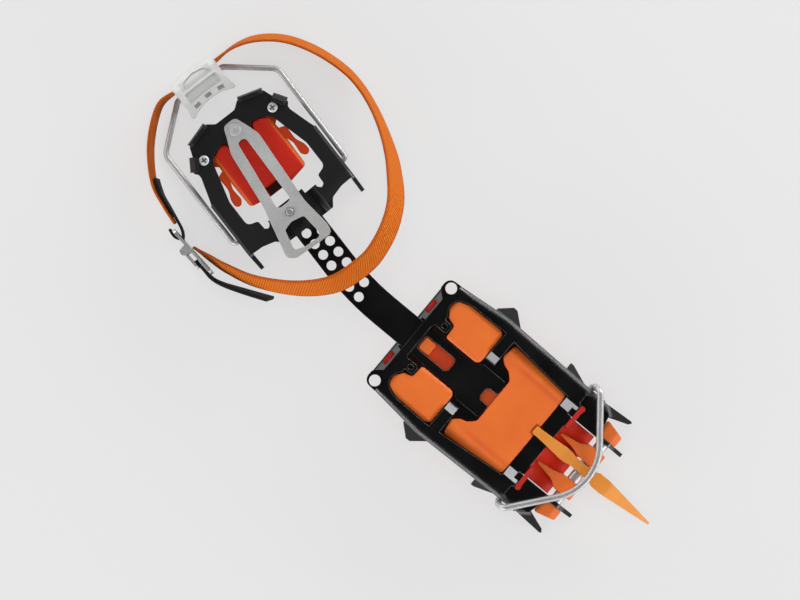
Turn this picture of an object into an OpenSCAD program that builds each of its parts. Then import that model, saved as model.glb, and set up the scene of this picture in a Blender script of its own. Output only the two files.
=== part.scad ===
// Ice climbing crampon for a right boot, lying open at its longest setting.
// X points to the toe, Y to the left, Z up. Z = 0 is the plane of the boot sole.

/* [Frame] */
// Thickness of the stamped sheet steel
sheet_t = 2.7; // [2.4:0.1:3]
// Depth of the point tips below the sole plane
point_depth = 45; // [43:1:48]
// Height of the folded side walls
wall_depth = 13; // [12:0.5:15]
// Half width of the front frame at its widest place
frame_half = 50; // [49:0.5:52]
// How far the crossbars dip below the rails
seat_drop = 5.2; // [5.1:0.1:5.6]

/* [Link bar] */
// Width of the link bar
bar_w = 22.5; // [21:0.5:22.5]
// Thickness of the link bar
bar_t = 2.2; // [1.8:0.1:2.3]
// Sideways bend of the link bar in degrees
bar_bend = 12.5; // [10:0.5:14]
// Radius of that bend
bar_bend_r = 200; // [160:5:220]
// Distance between two holes of one row
hole_pitch = 9.2; // [9:0.1:9.6]
// Diameter of the adjusting holes
hole_d = 6.6; // [6.6:0.1:7]

/* [Front point] */
// Width of the front point where it is clamped
point_w = 7; // [6:0.5:7]
// Diameter of the clamping bolt
bolt_d = 6; // [5:0.5:6]
// Reach of the front point's tip ahead of the rear crossbar
point_reach = 203.5; // [195:0.5:210]

/* [Bails] */
// Wire diameter of the front bail
front_wire_d = 4.6; // [4:0.2:4.8]
// Wire diameter of the heel bail
heel_wire_d = 4; // [3.6:0.2:4.2]
// Radial play of a wire in its hole
wire_play = 0.08; // [0.05:0.01:0.1]
// Droop of the heel bail behind its pivots in degrees
heel_bail_droop = 13.8; // [12:0.2:14]

/* [Heel] */
// Half width of the heel plate over its flanges
heel_half = 45; // [44.5:0.5:46]
// Diameter of the adjusting pin
pin_d = 6; // [5.4:0.1:6]
// Thickness of the adjuster spring
spring_t = 1.6; // [1.2:0.1:1.8]
// Half width of the heel lever at its wire
lever_half = 17.6; // [17.2:0.1:17.8]

/* [Plastic] */
// Depth of the pads' crowns below the sole plane
pad_depth = 1.2; // [0.8:0.1:2]

/* [Strap] */
// Width of the ankle strap webbing
strap_w = 18; // [16:0.5:18.5]
// Thickness of the webbing
strap_t = 2; // [1.6:0.1:2.2]

/* [Hidden] */
$fn = 48;
steel = [0.08, 0.08, 0.085];
bright = [0.72, 0.72, 0.72];
orange = [0.92, 0.42, 0.14];
red = [0.76, 0.12, 0.06];
amber = [0.93, 0.56, 0.15];
white = [0.88, 0.88, 0.86];
webbing = [0.9, 0.42, 0.08];

// Steps in a rounded corner, degrees of a wire bend in one step, sides of a wire
corner_steps = 4;
wire_turn = 12;
wire_sides = 14;
// The bent part of a wire is thinner than its ends by this much, so that the ends seat it
wire_step = 0.1;

// Link bar: the bend's corner, the straight length behind it and the rows of holes
bar_corner_x = -51.2;
bar_lead = 70.2;
bar_tail = 7.5;
bar_row = 4.75;
bar_holes = 9;
bar_bottom = -seat_drop;
bar_top = bar_bottom + bar_t;
bar_forward = [cos(bar_bend), -sin(bar_bend)];
bar_left = [sin(bar_bend), cos(bar_bend)];
heel_origin = [bar_corner_x, 0] - bar_lead * bar_forward;
bend_start = bar_lead - bar_bend_r * tan(bar_bend / 2);
bend_length = bar_bend_r * bar_bend * PI / 180;
bend_centre = heel_origin + bend_start * bar_forward + bar_bend_r * bar_left;

// Front point bolt, and where the pieces on it meet
bolt_x = 143.5;
bolt_z = -13;
web_in = 25.6;
web_out = web_in + sheet_t;
block_in = 7.7;
block_out = 19.2;
washer_t = 0.8;
point_left = block_in - washer_t - 0.2;
point_mid = point_left - point_w / 2;
corner_step = 2;
// Outer radius of the folds between the plates and their side walls, and the steps in it
fold_r = 3.4;
fold_steps = 9;
// The fold ahead of the kink lies this much further out, so that two folds meet in a clean line
fold_shift = [0, 0.05];

// Front bail pivot, heel bail pivot and the heel lever's axis
front_pivot = [113, -7];
heel_pivot = [-6, -8];
lever_arm = 105;
lever_axis = [heel_pivot[0] - lever_arm * cos(heel_bail_droop),
    heel_pivot[1] - lever_arm * sin(heel_bail_droop)];

// Adjuster rivet, heel screws, buckle
rivet_x = -66.5;
screw_at = [-63, 29.3];
buckle_at = [-20, -74.2, -32];
buckle_turn = 4;
buckle_pivot = [-4, -4.6];
buckle_pivot_d = 2.2;
buckle_half = strap_w / 2 + 3.4;

// Strap routes behind the heel origin: place, then lean of the web from upright in degrees
strap_root = [lever_axis[0] - 6.2, lever_half + 0.35, lever_axis[1]];
long_route = [
    [strap_root[0], strap_root[1], strap_root[2], 0], [strap_root[0], 34, strap_root[2], 8],
    [-109, 50, -34, 16], [-97, 65, -34.5, 18], [-79, 76.5, -34.5, 18], [-58, 84, -34, 17],
    [-40, 86, -32, 15], [-19, 83.5, -28, 15], [3, 77, -20.5, 20], [20, 69, -9.5, 27], [38, 56.5, 4, 35],
    [50, 41.5, 10, 42], [58, 23, 11, 44], [59.5, 8, 10, 45], [58, -8, 9, 42], [51, -23, 6.5, 35],
    [39, -38, -1, 27], [21.5, -53, -13, 20], [3, -63, -24, 15], [-10, -68, -30, 9], [-21, -71.5, -32, 0]];
short_route = [
    [strap_root[0], -strap_root[1], strap_root[2], 0],
    [strap_root[0] + 0.6, -30, strap_root[2], 7], [-104, -44, -34, 9], [-90.5, -56.5, -34, 9],
    [-72.5, -67, -33, 7], [-56, -70.5, -32, 3], [-43, -72, -32, 0]];
loop_route = [
    [-75, -63.2, -33.2, 6], [-64, -66.8, -32.5, 4], [-54, -68.2, -32, 3], [-44, -69.4, -32, 0],
    [-36, -71, -32, 0], [-31.4, -74.4, -32, 0], [-35.5, -77.7, -32, 0], [-42, -77.3, -32, 0]];
tip_route = [
    [-14, -76.2, -32, 0], [-6, -75.6, -32, 0], [2, -75, -32, 1], [10, -71.5, -30.5, 4],
    [22, -63.5, -27, 8],
    [38, -52, -22, 10]];

function unit(v) = v / norm(v);
function flat(p) = [p[0], p[1]];

// Points of one rounded corner between its neighbours
function corner_arc(before, at, after, r) =
    let (u = unit(before - at), v = unit(after - at), half = acos(u * v) / 2)
    let (c = at + unit(u + v) * r / sin(half), start = at + u * r / tan(half) - c,
        end = at + v * r / tan(half) - c)
    let (a = atan2(start[1], start[0]), turn = atan2(end[1], end[0]) - a)
    let (sweep = turn > 180 ? turn - 360 : turn < -180 ? turn + 360 : turn)
    [for (i = [0 : corner_steps]) let (b = a + sweep * i / corner_steps) c + r * [cos(b), sin(b)]];

// Outline from points [x, y, radius]; a point with no radius stays sharp
function rounded(pts) =
    let (n = len(pts))
    [for (i = [0 : n - 1])
        let (p = pts[i], r = len(p) > 2 ? p[2] : 0)
        each r == 0 ? [flat(p)] : corner_arc(flat(pts[(i + n - 1) % n]), flat(p),
            flat(pts[(i + 1) % n]), r)];

// The other half of an outline given for Y >= 0, so that it closes in one turn
function both(half) =
    concat(half, [for (i = [len(half) - 1 : -1 : 0]) if (half[i][1] != 0)
        [half[i][0], -half[i][1], len(half[i]) > 2 ? half[i][2] : 0]]);

// Smooth curve through the points of a route
function on_curve(a, b, c, d, t) =
    0.5 * (2 * b + (c - a) * t + (2 * a - 5 * b + 4 * c - d) * t * t + (3 * b - a - 3 * c + d) * t * t * t);
function smooth(route, steps) =
    let (n = len(route))
    [for (i = [0 : n - 2], k = [0 : steps - 1])
        on_curve(route[max(i - 1, 0)], route[i], route[i + 1], route[min(i + 2, n - 1)], k / steps),
     route[n - 1]];

function bar_point(s, across) =
    s < bend_start ? heel_origin + s * bar_forward + across * bar_left :
    let (h = min(0, (s - bend_start) / bar_bend_r * 180 / PI - bar_bend))
    let (past = max(0, s - bend_start - bend_length))
    bend_centre + (bar_bend_r - across) * [sin(h), -cos(h)] + [past, 0];

module plate(pts, low, high) {
    translate([0, 0, low]) linear_extrude(high - low) polygon(rounded(pts));
}

// Profile in X and Z, from one Y to another
module along_y(pts, right, left) {
    translate([0, left, 0]) rotate([90, 0, 0]) linear_extrude(left - right) polygon(rounded(pts));
}

// Profile in Y and Z, from one X to another
module along_x(pts, back, front) {
    translate([back, 0, 0]) rotate([90, 0, 90]) linear_extrude(front - back) polygon(rounded(pts));
}

module two_sides() {
    children();
    mirror([0, 1, 0]) children();
}

// Folded wall whose outer face runs from one plan point to another, leaning out below its fold
module wall(from, to, pts, fold, lean) {
    run = to - from;
    translate([from[0], from[1], fold]) rotate([0, 0, atan2(run[1], run[0])]) rotate([lean, 0, 0])
        rotate([90, 0, 0]) linear_extrude(sheet_t) polygon(rounded(pts));
}

module bore_y(x, z, d, right, left) {
    translate([x, left, z]) rotate([90, 0, 0]) cylinder(d = d, h = left - right);
}

// Moulded pad: its plan outline, crowned by one profile along the foot and one across it
module crowned(plan, lengthwise, crosswise) {
    intersection() {
        plate(plan, -30, 5);
        along_y(lengthwise, -60, 60);
        along_x(crosswise, -100, 140);
    }
}

// Profile with a flat foot and softly rounded shoulders, upright or hanging
function crown(from, to, foot, top, shoulder, r) =
    let (fall = sign(top - foot) * shoulder * 0.7)
    let (a = from - 0.3, b = to + 0.3)
    [[a, foot], [a, top - fall, r / 2], [a + shoulder, top, r], [b - shoulder, top, r],
    [b, top - fall, r / 2], [b, foot]];

// Centre line of a bent wire through points [place, bend radius]
function bent(path) =
    let (n = len(path))
    [for (i = [0 : n - 1]) each i == 0 || i == n - 1 ? [path[i][0]] :
        let (p = path[i][0], r = path[i][1], u = unit(path[i - 1][0] - p), v = unit(path[i + 1][0] - p))
        let (half = acos(u * v) / 2, c = p + unit(u + v) * r / sin(half), turn = 180 - 2 * half)
        let (out = unit(p + u * r / tan(half) - c), steps = max(2, ceil(turn / wire_turn)))
        [for (k = [0 : steps]) let (a = turn * k / steps) c + r * (cos(a) * out - sin(a) * u)]];

// Round wire along a centre line; across is a direction that the wire never takes
module tube(line, d, across) {
    n = len(line);
    rings = [for (i = [0 : n - 1])
        let (t = unit(unit(line[min(i + 1, n - 1)] - line[max(i, 0) - (i == n - 1 ? 1 : 0)])
            + unit(line[max(i, 1)] - line[max(i - 1, 0)])))
        let (side = unit(cross(across, t)), up = cross(t, side))
        [for (k = [0 : wire_sides - 1])
            let (a = 360 * k / wire_sides) line[i] + d / 2 * (cos(a) * side + sin(a) * up)]];
    skin(rings);
}

// Closed solid over rings with the same count of points, each ring turning left about the way ahead
module skin(rings) {
    n = len(rings);
    m = len(rings[0]);
    polyhedron(
        [for (ring = rings) each ring],
        concat(
            [[for (i = [0 : m - 1]) i], [for (i = [m - 1 : -1 : 0]) (n - 1) * m + i]],
            [for (k = [0 : n - 2], i = [0 : m - 1])
                let (j = (i + 1) % m)
                each [[k * m + i, k * m + m + i, k * m + m + j],
                    [k * m + i, k * m + m + j, k * m + j]]]));
}

// Flat webbing along a route, its width standing up and leaning as the route says
module web_along(route, steps, width, thick) {
    points = smooth(route, steps);
    n = len(points);
    e = width / 2;
    section = [
        [-e, -thick / 4], [-e, thick / 4], [-e + thick / 2, thick / 2], [e - thick / 2, thick / 2],
        [e, thick / 4], [e, -thick / 4], [e - thick / 2, -thick / 2], [-e + thick / 2, -thick / 2]];
    rings = [for (i = [0 : n - 1])
        let (step = points[min(i + 1, n - 1)] - points[max(i - 1, 0)])
        let (t = unit([step[0], step[1], step[2]]), side = unit([t[1], -t[0], 0]))
        let (lean = points[i][3], raw = cos(lean) * [0, 0, 1] + sin(lean) * side)
        let (up = unit(raw - (raw * t) * t), face = cross(t, up))
        [for (q = section) [points[i][0], points[i][1], points[i][2]] + q[0] * up + q[1] * face]];
    skin(rings);
}

module at_heel() {
    translate([heel_origin[0], heel_origin[1], 0]) rotate([0, 0, -bar_bend]) children();
}

module at_lever() {
    at_heel() translate([lever_axis[0], 0, lever_axis[1]]) children();
}

module at_buckle() {
    at_heel() translate(buckle_at) rotate([0, 0, buckle_turn]) children();
}

// Triangular point folded out below an edge: its foot and its tip along the edge, the tip pushed out
// by reach
module side_point(from, to, fold, rise, foot, tip, reach) {
    drop = point_depth + fold;
    lean = atan(reach / drop);
    long = drop / cos(lean) - sheet_t * tan(lean);
    outline = [
        [foot[0], rise], [foot[1], rise], [foot[1], 0, 2], [tip[1], -long, 0.6], [tip[0], -long, 0.6],
        [foot[0], 0, 2]];
    wall(from, to, outline, fold, lean);
}

// Front frame, left half

rail_kink = [40, frame_half];
rail_back = [2, frame_half - 4];
rail_front = [113, frame_half - 1.7];
wall_end = [126, frame_half - 1.4];
wall_line = [[-2, frame_half - 4.4], rail_back, rail_kink, rail_front, wall_end];

module rail() {
    plate([
        [-3.5, 0], [-3.5, frame_half - 19], [-9.4, frame_half - 14, 4],
        [-9.4, frame_half - 4.5, 5.5], rail_back, rail_kink, rail_front,
        [113, frame_half - 16], [104, frame_half - 15.4], [54, frame_half - 10.5, 1],
        [42, frame_half - 9, 3], [14, frame_half - 9.5, 6], [4.5, frame_half - 13, 5],
        [3.2, frame_half - 20, 3],
        [7, 23.4, 2.5], [7, 20.5], [2.6, 13], [2.6, 0]], -sheet_t, 0);
}

module keeper_tab() {
    difference() {
        plate([[1, 14.5], [1, 21.5], [13.4, 21.5, 1.5], [13.4, 14.5, 1.5]], -sheet_t, 0);
        plate([[7.5, 16.4, 1], [7.5, 19.6, 1], [11.2, 19.6, 1], [11.2, 16.4, 1]], -sheet_t - 1, 1);
    }
}

module corner_plate() {
    plate([
        [111, web_in], [111, frame_half - 4], [118, frame_half - 2.2], [127, frame_half - 2.4, 2],
        [134, frame_half - 7.5, 3], [135.5, frame_half - 14],
        [135.5, web_in]], -corner_step - sheet_t, -corner_step);
}

// Long point that hangs from the slanted front edge of the corner
module corner_point() {
    side_point([125.8, frame_half - 2.2], [133.6, frame_half - 8], -corner_step - sheet_t / 2, 0.9,
        [0.3, 9.4], [19, 20.6], 16.8);
}

// What the outer radius of a fold leaves away, along an edge at one height and a little past its ends
module fold_away(from, to, height) {
    run = to - from;
    past = 1.2;
    r = fold_r + 0.04;
    arc = [for (k = [0 : fold_steps])
        let (a = 90 * k / fold_steps) [r * sin(a), r * cos(a)] - [fold_r, fold_r]];
    corner = [[0.6, -fold_r], [0.6, fold_r], [-fold_r, fold_r]];
    translate([from[0], from[1], height]) rotate([90, 0, 90 + atan2(run[1], run[0])])
        translate([0, 0, -past]) linear_extrude(norm(run) + 2 * past) polygon(concat(arc, corner));
}

module inner_web() {
    along_y([
        [111, -seat_drop - sheet_t], [111, -corner_step - 1], [114, -corner_step], [134, -corner_step, 3],
        [147, -4.5, 4], [152, -11, 4], [160, 8 - point_depth], [158.5, 5.5 - point_depth],
        [155, 7 - point_depth], [146.5, -23, 5], [136, -20.5, 6], [122, -13, 6]], web_in, web_out);
}

module side_walls() {
    intersection() {
        plate(concat(wall_line, [for (i = [len(wall_line) - 1 : -1 : 0]) wall_line[i] - [0, sheet_t]]),
            -point_depth - 1, 1);
        along_y([
            [-2, 0], [113, 0], [119, -corner_step], [127, -corner_step], [127, -9, 3],
            [121, -wall_depth, 4],
            [91, -wall_depth], [84, -9, 5], [58, -9, 5], [51.5, -wall_depth], [28.5, -wall_depth],
            [16, -9, 4],
            [-2, -7, 2]], frame_half - 10, frame_half + 10);
    }
    side_point(rail_kink, rail_front, 0.4 - wall_depth, 3, [-10.5, 10.5], [-1.6, 1.6], 8.5);
    side_point(rail_kink, rail_front, 0.4 - wall_depth, 3, [52, 68], [53, 55.5], 5.5);
}

module rear_flange() {
    along_y([
        [-1.5, 0], [-3.5, 0, 1.5], [-8.8, -12.4], [-8.2, -14, 0.6], [-6.5, -14, 0.6], [-1.5, -sheet_t]],
        0, frame_half - 9);
}

// Crossbar that dips between the rails: half width of its foot, where its slopes end, its reach and
// its drop
module dip_profile(foot, top, reach, drop, back, front) {
    low = -drop - sheet_t;
    along_x([
        [reach, 0], [top, 0], [foot, -drop], [-foot, -drop], [-top, 0], [-reach, 0],
        [-reach, -sheet_t], [-top - 1, -sheet_t], [-foot - 1, low], [foot + 1, low], [top + 1, -sheet_t],
        [reach, -sheet_t]], back, front);
}

module seat() {
    plate(both([
        [44.5, 0], [44.5, 19], [51.8, 24.4], [53.4, 24.6, 1], [57, 22.4, 4], [62, 21, 2], [66.5, 16.5, 2],
        [66.5, 5.5, 1.5], [58, 5.5, 3], [58, 0]]),
        -seat_drop - sheet_t, -seat_drop);
}

module front_frame() color(steel) difference() {
    union() {
        two_sides() {
            rail();
            keeper_tab();
            corner_plate();
            corner_point();
            inner_web();
            side_walls();
            rear_flange();
        }
        dip_profile(18.5, 25, frame_half - 8.5, seat_drop, 44.5, 52.3);
        seat();
        dip_profile(26.5, frame_half - 16.5, frame_half - 14, seat_drop, 103.7, 114.6);
    }
    // way for the link bar under the rear crossbar
    translate([-14, -13, -seat_drop - 1]) cube([10.5, 26, seat_drop + 2]);
    translate([-4, -13, -seat_drop - 1]) cube([4, 26, seat_drop + 1 - sheet_t]);
    two_sides() {
        fold_away(rail_back, rail_kink, 0);
        fold_away(rail_kink + fold_shift, rail_front + fold_shift, 0);
        fold_away(rail_front + 0.35 * (wall_end - rail_front), wall_end + [2, 0], -corner_step);
        translate([-3.5, frame_half - 9.5, -20]) cylinder(d = 8, h = 21);
        plate([[-7.7, 17.5, 1.5], [-7.7, 28, 1.5], [-4.4, 28, 1.5], [-4.4, 17.5, 1.5]], -20, 1);
        bore_y(front_pivot[0], front_pivot[1], front_wire_d + 2 * wire_play, frame_half - 10,
            frame_half + 10);
        bore_y(bolt_x, bolt_z, bolt_d + 0.4, web_in - 1, web_out + 1);
    }
}

module link_bar() color(steel) difference() {
    side = [for (s = concat([-bar_tail], [for (k = [0 : 6]) bend_start + bend_length * k / 6])) s];
    left_edge = [for (s = side) bar_point(s, bar_w / 2)];
    right_edge = [for (i = [len(side) - 1 : -1 : 0]) bar_point(side[i], -bar_w / 2)];
    head = [
        [42, bar_w / 2, 3], [46.5, 15, 2], [66.5, 15, 2], [66.5, 5, 1.5], [58, 5, 3], [58, -5, 3],
        [66.5, -5, 1.5], [66.5, -15, 2], [46.5, -15, 2], [42, -bar_w / 2, 3]];
    plate(concat(left_edge, head, right_edge), bar_bottom, bar_top);
    for (k = [0 : bar_holes - 1]) {
        translate(concat(bar_point(k * hole_pitch, -bar_row), bar_bottom - 1)) cylinder(d = hole_d,
            h = bar_t + 2);
    }
    for (k = [0 : bar_holes - 2]) {
        translate(concat(bar_point((k + 0.5) * hole_pitch, bar_row), bar_bottom - 1))
            cylinder(d = hole_d, h = bar_t + 2);
    }
    plate([[4, 5.5, 1.5], [4, -5.5, 1.5], [30.5, -5.5, 3], [30.5, 5.5, 3]], bar_bottom - 1, bar_top + 1);
}

// Front anti-snow plate

deck_top = -seat_drop - sheet_t - 0.4;
deck_low = deck_top - 2;

module rear_pad() {
    crowned([
        [4, frame_half - 20, 3], [5.2, frame_half - 13.6, 4.5], [14.4, frame_half - 10.2, 6],
        [40.4, frame_half - 9.7, 3.5], [43.8, frame_half - 12, 3], [43.8, 12.4, 4], [15, 12.4, 2],
        [14.4, 22.2, 2], [8.4, 23.8, 2]],
        crown(4, 43.8, deck_top - 1, -pad_depth, 2.4, 3.4),
        crown(12.4, frame_half - 9.7, deck_top - 1, -pad_depth, 2.4, 3.4));
}

// Cross profile with a raised wing along each side of a shallow middle
wing_in = 5;
wing_drop = 1.2;
function winged(half, foot, top) =
    let (crest = half - 6.5, valley = half - 6.5 - wing_in)
    [[-half, foot], [-half, top - 4.9, 6], [-crest, top, 7], [-valley, top - wing_drop, 9],
    [valley, top - wing_drop, 9], [crest, top, 7], [half, top - 4.9, 6], [half, foot]];

module toe_pad() {
    crowned(both([
        [103, 0], [103, frame_half - 15.9, 2.5], [55, frame_half - 11.2, 3], [53, 27.4, 3],
        [57.6, 23.6, 4],
        [62.6, 22, 3], [67.2, 17.4, 3], [67.2, 0]]),
        crown(53, 103, deck_top - 1, -pad_depth, 3, 4),
        winged(frame_half - 10.9, deck_top - 1, -pad_depth));
}

// Hollow-looking bulge under the deck between the walls
module underside_bulge(back, front, right, left) {
    crowned([[back, right, 4], [back, left, 4], [front, left, 4], [front, right, 4]],
        crown(back, front, deck_low + 1, deck_low - 5, 4, 5),
            crown(right, left, deck_low + 1, deck_low - 5, 5, 6));
}

module toe_deck() {
    along_y([
        [108, deck_top], [113, deck_top, 6], [137, -24.5, 1], [136, -26.5, 1], [112, deck_low, 6],
        [108, deck_low]],
        -web_in + 0.5, web_in - 0.5);
}

// Lip that hooks under the rear flange, below its oval holes
module rear_lip() {
    along_y([
        [-2.6, deck_top], [-5, -13.4], [-5, -14.6], [-8, -14.8, 0.4], [-8, -16.4, 0.4],
        [-3.4, -16.2, 1], [-0.5, deck_low]],
        15.5, 30);
}

module clip_finger() {
    plate([[115.2, 18], [118.4, 18], [118.4, 31, 3], [119.6, 35.4, 1.8], [115, 37, 1.8], [115.2, 31, 3]],
        -corner_step + 0.1, -0.3);
    plate([[115.2, 18], [118.4, 18], [118.4, 24.6], [115.2, 24.6]], -14, -0.3);
}

module front_antisnow() color(orange) difference() {
    union() {
        plate(both([
            [-2.8, 0], [-2.8, frame_half - 15, 3], [3, frame_half - 8.5, 4], [40, frame_half - 5.4, 8],
            [109, frame_half - 8, 3], [109, 0]]), deck_low, deck_top);
        two_sides() {
            rear_pad();
            rear_lip();
            clip_finger();
            underside_bulge(5, 44, 13, frame_half - 12);
        }
        toe_pad();
        underside_bulge(54, 101, 16 - frame_half, frame_half - 16);
        toe_deck();
        plate([[4.8, 4.8, 1.5], [4.8, -4.8, 1.5], [13.6, -4.8, 1.5], [13.6, 4.8, 1.5]],
            deck_top - 0.5, bar_top - 0.6);
    }
    // seat for the tail of the front point
    translate([99.5, point_mid - 4, -seat_drop]) cube([6, 8, seat_drop]);
}

// Front point and what clamps it

module front_point() color(amber) difference() {
    half = point_w / 2;
    intersection() {
        translate([0, point_mid, 0]) plate(both([
            [101, 0], [101, half - 0.6, 1], [112, half - 0.1], [126, half + 1, 4], [130, half + 1, 4],
            [135, half, 4], [151.5, half, 3], [156, half + 2, 2], [163, half + 2, 10],
            [point_reach, 0.8]]), -40, 2);
        along_y([
            [101, -pad_depth - 0.4, 1], [128, -pad_depth - 0.4, 6], [137, -3.6, 6], [151, -4.6, 8],
            [166, -7.5, 12],
            [point_reach, -28], [point_reach, -29.6], [190, -27.2, 20], [171, -24, 10], [157, -25, 4],
            [149, -21.8, 5], [137, -21.3, 5], [127, -15, 5], [116, 0.1 - seat_drop, 2],
            [101, 0.1 - seat_drop, 1]],
            -20, 20);
    }
    bore_y(bolt_x, bolt_z, bolt_d + 0.4, -20, 20);
}

module point_bolt() color(bright) difference() {
    union() {
        bore_y(bolt_x, bolt_z, bolt_d, -36, 32);
        bore_y(bolt_x, bolt_z, 10, 31, 36);
    }
    translate([bolt_x, 36.1, bolt_z]) rotate([90, 0, 0]) cylinder(d = 5.6, h = 3, $fn = 6);
}

module point_nut() color(bright) difference() {
    translate([bolt_x, -31, bolt_z]) rotate([90, 0, 0]) cylinder(d = 11, h = 5, $fn = 6);
    bore_y(bolt_x, bolt_z, bolt_d + 0.1, -40, -30);
}

module sleeve(right, left) {
    difference() {
        bore_y(bolt_x, bolt_z, bolt_d + 2.6, right, left);
        bore_y(bolt_x, bolt_z, bolt_d + 0.3, right - 1, left + 1);
    }
}

module point_sleeves() color(bright) {
    sleeve(0.1 - block_in, point_left - point_w - 0.1);
    two_sides() sleeve(block_out + 0.1, web_in - 0.1);
}

module point_washer() color(bright) sleeve(point_left + 0.1, point_left + washer_t);

module spacer_block() {
    difference() {
        intersection() {
            plate([
                [116.8, 11.4], [128, 10.2, 8], [136.5, block_in, 3], [150.5, block_in, 1],
                [150.5, block_out, 1],
                [137, block_out, 2], [131, 15.4, 6], [116.8, 13]], -40, 0);
            along_y([
                [116.8, -10.2], [116.8, -8.2, 0.8], [136, -5.6, 6], [146.5, -5.6, 3], [150.5, -9, 3],
                [150.5, -20.5, 2], [137, -21.5, 3], [124, -14.6, 4]], 0, 30);
        }
        bore_y(bolt_x, bolt_z, bolt_d + 0.3, 0, 30);
    }
}

module end_block() {
    difference() {
        intersection() {
            plate([
                [136, web_out + 0.1, 1], [136, frame_half - 10, 1.5], [151, frame_half - 14, 1.5],
                [151, web_out + 0.1, 1]], -40, 0);
            along_y([[136, -20, 3], [136, -6.4, 3], [146, -6, 3], [151, -9.5, 3], [151, -20, 3]], 20, 45);
        }
        bore_y(bolt_x, bolt_z, bolt_d + 0.3, 20, 45);
        bore_y(bolt_x, bolt_z, 11.6, 30.9, 45);
    }
}

module spacer_block_left() color(orange) spacer_block();
module spacer_block_right() color(orange) mirror([0, 1, 0]) spacer_block();
module end_block_left() color(orange) end_block();
module end_block_right() color(orange) mirror([0, 1, 0]) end_block();

module front_bail() color(bright) {
    foot = frame_half + 1.6;
    line = bent([
        [[front_pivot[0], foot - 4.2, front_pivot[1]], 0],
        [[front_pivot[0], foot, front_pivot[1]], 3.6],
        [[118.5, foot, 2.2], 4.4],
        [[160, 0, -1.5], 36],
        [[118.5, -foot, 2.2], 4.4],
        [[front_pivot[0], -foot, front_pivot[1]], 3.6],
        [[front_pivot[0], 4.2 - foot, front_pivot[1]], 0]]);
    tube(line, front_wire_d - wire_step, [-0.86, 0, 0.5]);
    two_sides() bore_y(front_pivot[0], front_pivot[1], front_wire_d, frame_half - 6.2, foot - 3.7);
}

// Heel section, drawn about the adjusting pin's row on the bar

module heel_ring() {
    plate(both([
        [-77.5, 0], [-77.5, 8, 3], [-81.5, 13.2, 1.5], [-76, 31.6, 1.5], [-70, 33.8, 1], [-60, 40.4, 1],
        [-57.5, 38.2, 2], [-52.5, 38, 8], [-34, heel_half - 0.2, 8], [7, heel_half, 2],
        [7.4, 34, 5], [10, 24.4, 5], [15.5, 20.4, 1.5], [15.5, 19], [-4, 19], [0.4, 22.6, 1.5],
        [-1.4, 25.2, 1],
        [-8, 25.6, 2], [-10.4, 33, 4], [-30, 33, 8], [-60, 25, 8], [-65.5, 11.5, 3], [-59, 8.6, 3],
        [-59, 0]]),
        -sheet_t, 0);
}

module heel_flange() {
    wall([-36, heel_half], [8, heel_half], [
        [0, 0], [43, 0], [44, -10, 3], [54, 2 - point_depth], [53, -point_depth], [50, 1 - point_depth],
        [35, -18, 6], [22, -13, 5], [2, -11, 4]], 0, 0);
}

module rear_heel_point() {
    wall([-57, 37.4], [-33, heel_half - 0.2], [
        [0, 0], [24, 0], [24, -10], [15, -13, 5], [4.5, 1 - point_depth], [3, -point_depth],
        [1.6, 1 - point_depth], [0, -14]], 0, 0);
}

module inner_heel_stop() {
    wall([-75.4, 31.4], [-80.9, 13], [[0.6, 0.6 - sheet_t], [1, 11, 2.5], [3.4, 13.5, 2.5],
        [16.2, 13.5, 2.5],
        [18.2, 11, 2.5], [18.6, 0.6 - sheet_t]], 0, -8);
}

module outer_heel_stop() {
    wall([-59.9, 39.3], [-69.1, 33.3], [[0.4, 0.6 - sheet_t], [0.6, 10, 2], [10.4, 10, 2],
        [10.6, 0.6 - sheet_t]], 0, -20);
}

module heel_plate() color(steel) at_heel() difference() {
    union() {
        two_sides() {
            heel_ring();
            heel_flange();
            rear_heel_point();
            inner_heel_stop();
            outer_heel_stop();
        }
        dip_profile(13.4, 19, 20.4, seat_drop + 0.15, -4, 15.5);
    }
    translate([rivet_x, 0, -10]) cylinder(d = 6.2, h = 20);
    two_sides() {
        fold_away([-35, heel_half], [8, heel_half], 0);
        translate([screw_at[0], screw_at[1], -10]) cylinder(d = 4.4, h = 20);
        bore_y(heel_pivot[0], heel_pivot[1], heel_wire_d + 2 * wire_play, 35, 55);
    }
}

snow_low = -11;

module snow_clip() {
    plate([
        [-50, 24, 1], [-48, 29, 2], [-37, 28.6, 8], [-31, 31.4, 3], [-25.4, 32, 3], [-23, 28.4, 2.6],
        [-27, 25.4, 2.6],
        [-36, 26, 6], [-44, 23, 1]], -8, -3.4);
}

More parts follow.
